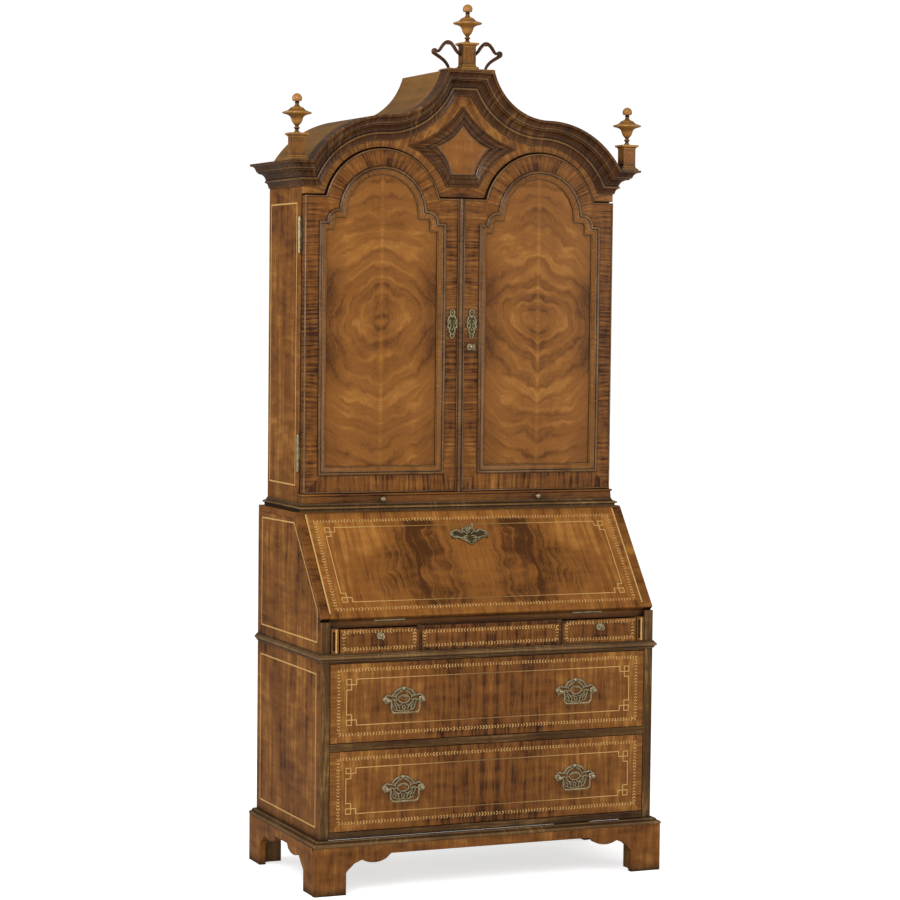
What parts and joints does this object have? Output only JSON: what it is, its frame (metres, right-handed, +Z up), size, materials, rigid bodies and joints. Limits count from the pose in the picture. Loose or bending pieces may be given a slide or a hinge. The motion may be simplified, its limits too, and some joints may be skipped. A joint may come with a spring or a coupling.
{
  "type": "writing bureau",
  "caption": "Tall writing bureau with a sloping fall, drawers, arched cupboard doors, a serpentine cornice and turned finials.",
  "frame": {"origin": "on the floor, under the middle of the bounding box", "axes": "+Z up, +X to the right of someone facing the bureau, front towards -Y"},
  "size_m": [1.132, 0.576, 2.53],
  "materials": {
    "walnut": "waxed, straight grain",
    "figured_walnut": "waxed, flame figure, feather banding",
    "crossbanded_walnut": "waxed, cross-grain banding",
    "moulded_walnut": "waxed, darkened in the hollows",
    "oak": "dry, planed",
    "brass": "antique, worn"
  },
  "bodies": {
    "root": {"centre_panel": "figured_walnut", "tympanum": "crossbanded_walnut", "lower_side_left": "walnut", "lower_side_right": "walnut", "bureau_top": "walnut", "writing_board": "walnut", "skirt": "walnut", "upper_side_left": "walnut", "upper_side_right": "walnut", "upper_base": "walnut", "roof_shell": "walnut", "kite_frame": "walnut", "drawer_rails": "walnut", "base_moulding": "moulded_walnut", "waist_moulding": "moulded_walnut", "upper_base_moulding": "moulded_walnut", "cornice": "moulded_walnut", "finial_plinths": "moulded_walnut", "finials": "moulded_walnut", "scrolls": "moulded_walnut", "lower_back": "oak", "upper_back": "oak", "row_partitions": "oak", "foot_blocks": "oak", "pigeonholes": "oak", "cupboard_boards": "oak", "fixed_hinges": "brass"},
    "upper_drawer": {"upper_drawer_front": "figured_walnut", "upper_drawer_box": "oak", "upper_drawer_plates": "brass"},
    "lower_drawer": {"lower_drawer_front": "figured_walnut", "lower_drawer_box": "oak", "lower_drawer_plates": "brass"},
    "small_drawer_left": {"small_drawer_left": "walnut"},
    "small_drawer_right": {"small_drawer_right": "walnut"},
    "loper_left": {"loper_left": "walnut"},
    "loper_right": {"loper_right": "walnut"},
    "fall": {"fall_board": "figured_walnut", "fall_brass": "brass"},
    "fall_key": {"fall_key": "brass"},
    "small_drawer_key_left": {"small_drawer_key_left": "brass"},
    "small_drawer_key_right": {"small_drawer_key_right": "brass"},
    "door_left": {"door_left_frame": "crossbanded_walnut", "door_left_panel": "figured_walnut", "door_left_mouldings": "moulded_walnut", "door_left_brass": "brass"},
    "door_right": {"door_right_frame": "crossbanded_walnut", "door_right_panel": "figured_walnut", "door_right_mouldings": "moulded_walnut", "door_right_brass": "brass"},
    "door_key": {"door_key": "brass"},
    "candle_slide_left": {"candle_slide_left": "walnut"},
    "candle_slide_right": {"candle_slide_right": "walnut"},
    "gallery_drawer_left": {"gallery_drawer_left": "oak"},
    "gallery_drawer_right": {"gallery_drawer_right": "oak"},
    "upper_bail_left": {"upper_bail_left": "brass"},
    "upper_bail_right": {"upper_bail_right": "brass"},
    "lower_bail_left": {"lower_bail_left": "brass"},
    "lower_bail_right": {"lower_bail_right": "brass"}
  },
  "joints": [
    {"name": "upper_drawer_slide", "type": "slide", "parent": "root", "child": "upper_drawer", "axis": [0, -1, 0], "range_m": [0, 0.38]},
    {"name": "lower_drawer_slide", "type": "slide", "parent": "root", "child": "lower_drawer", "axis": [0, -1, 0], "range_m": [0, 0.38]},
    {"name": "small_drawer_left_slide", "type": "slide", "parent": "root", "child": "small_drawer_left", "axis": [0, -1, 0], "range_m": [0, 0.25]},
    {"name": "loper_left_slide", "type": "slide", "parent": "root", "child": "loper_left", "axis": [0, -1, 0], "range_m": [0, 0.3]},
    {"name": "candle_slide_left_slide", "type": "slide", "parent": "root", "child": "candle_slide_left", "axis": [0, -1, 0], "range_m": [0, 0.18]},
    {"name": "gallery_drawer_left_slide", "type": "slide", "parent": "root", "child": "gallery_drawer_left", "axis": [0, -1, 0], "range_m": [0, 0.15]},
    {"name": "small_drawer_right_slide", "type": "slide", "parent": "root", "child": "small_drawer_right", "axis": [0, -1, 0], "range_m": [0, 0.25]},
    {"name": "loper_right_slide", "type": "slide", "parent": "root", "child": "loper_right", "axis": [0, -1, 0], "range_m": [0, 0.3]},
    {"name": "candle_slide_right_slide", "type": "slide", "parent": "root", "child": "candle_slide_right", "axis": [0, -1, 0], "range_m": [0, 0.18]},
    {"name": "gallery_drawer_right_slide", "type": "slide", "parent": "root", "child": "gallery_drawer_right", "axis": [0, -1, 0], "range_m": [0, 0.15]},
    {"name": "fall_hinge", "type": "hinge", "parent": "root", "child": "fall", "pos_m": [0, -0.23537, 0.768], "axis": [1, 0, 0], "range_deg": [0, 128.39]},
    {"name": "door_left_hinge", "type": "hinge", "parent": "root", "child": "door_left", "pos_m": [-0.497, 0.0155, 1.227], "axis": [0, 0, -1], "range_deg": [0, 110]},
    {"name": "small_drawer_left_key_turn", "type": "hinge", "parent": "small_drawer_left", "child": "small_drawer_key_left", "pos_m": [-0.344, -0.252, 0.726], "axis": [0, -1, 0], "range_deg": [0, 90]},
    {"name": "upper_bail_left_lift", "type": "hinge", "parent": "upper_drawer", "child": "upper_bail_left", "pos_m": [-0.27, -0.267, 0.542], "axis": [-1, 0, 0], "range_deg": [0, 80]},
    {"name": "lower_bail_left_lift", "type": "hinge", "parent": "lower_drawer", "child": "lower_bail_left", "pos_m": [-0.27, -0.267, 0.29], "axis": [-1, 0, 0], "range_deg": [0, 80]},
    {"name": "door_right_hinge", "type": "hinge", "parent": "root", "child": "door_right", "pos_m": [0.497, 0.0155, 1.227], "axis": [0, 0, 1], "range_deg": [0, 110]},
    {"name": "small_drawer_right_key_turn", "type": "hinge", "parent": "small_drawer_right", "child": "small_drawer_key_right", "pos_m": [0.344, -0.252, 0.726], "axis": [0, -1, 0], "range_deg": [0, 90]},
    {"name": "upper_bail_right_lift", "type": "hinge", "parent": "upper_drawer", "child": "upper_bail_right", "pos_m": [0.27, -0.267, 0.542], "axis": [-1, 0, 0], "range_deg": [0, 80]},
    {"name": "lower_bail_right_lift", "type": "hinge", "parent": "lower_drawer", "child": "lower_bail_right", "pos_m": [0.27, -0.267, 0.29], "axis": [-1, 0, 0], "range_deg": [0, 80]},
    {"name": "door_key_turn", "type": "hinge", "parent": "door_right", "child": "door_key", "pos_m": [0.026, -0.012, 1.535], "axis": [0, -1, 0], "range_deg": [0, 90]},
    {"name": "fall_key_turn", "type": "hinge", "parent": "fall", "child": "fall_key", "pos_m": [0, -0.07626, 0.99782], "axis": [0, -0.7838, 0.621], "range_deg": [0, 90]}
  ]
}
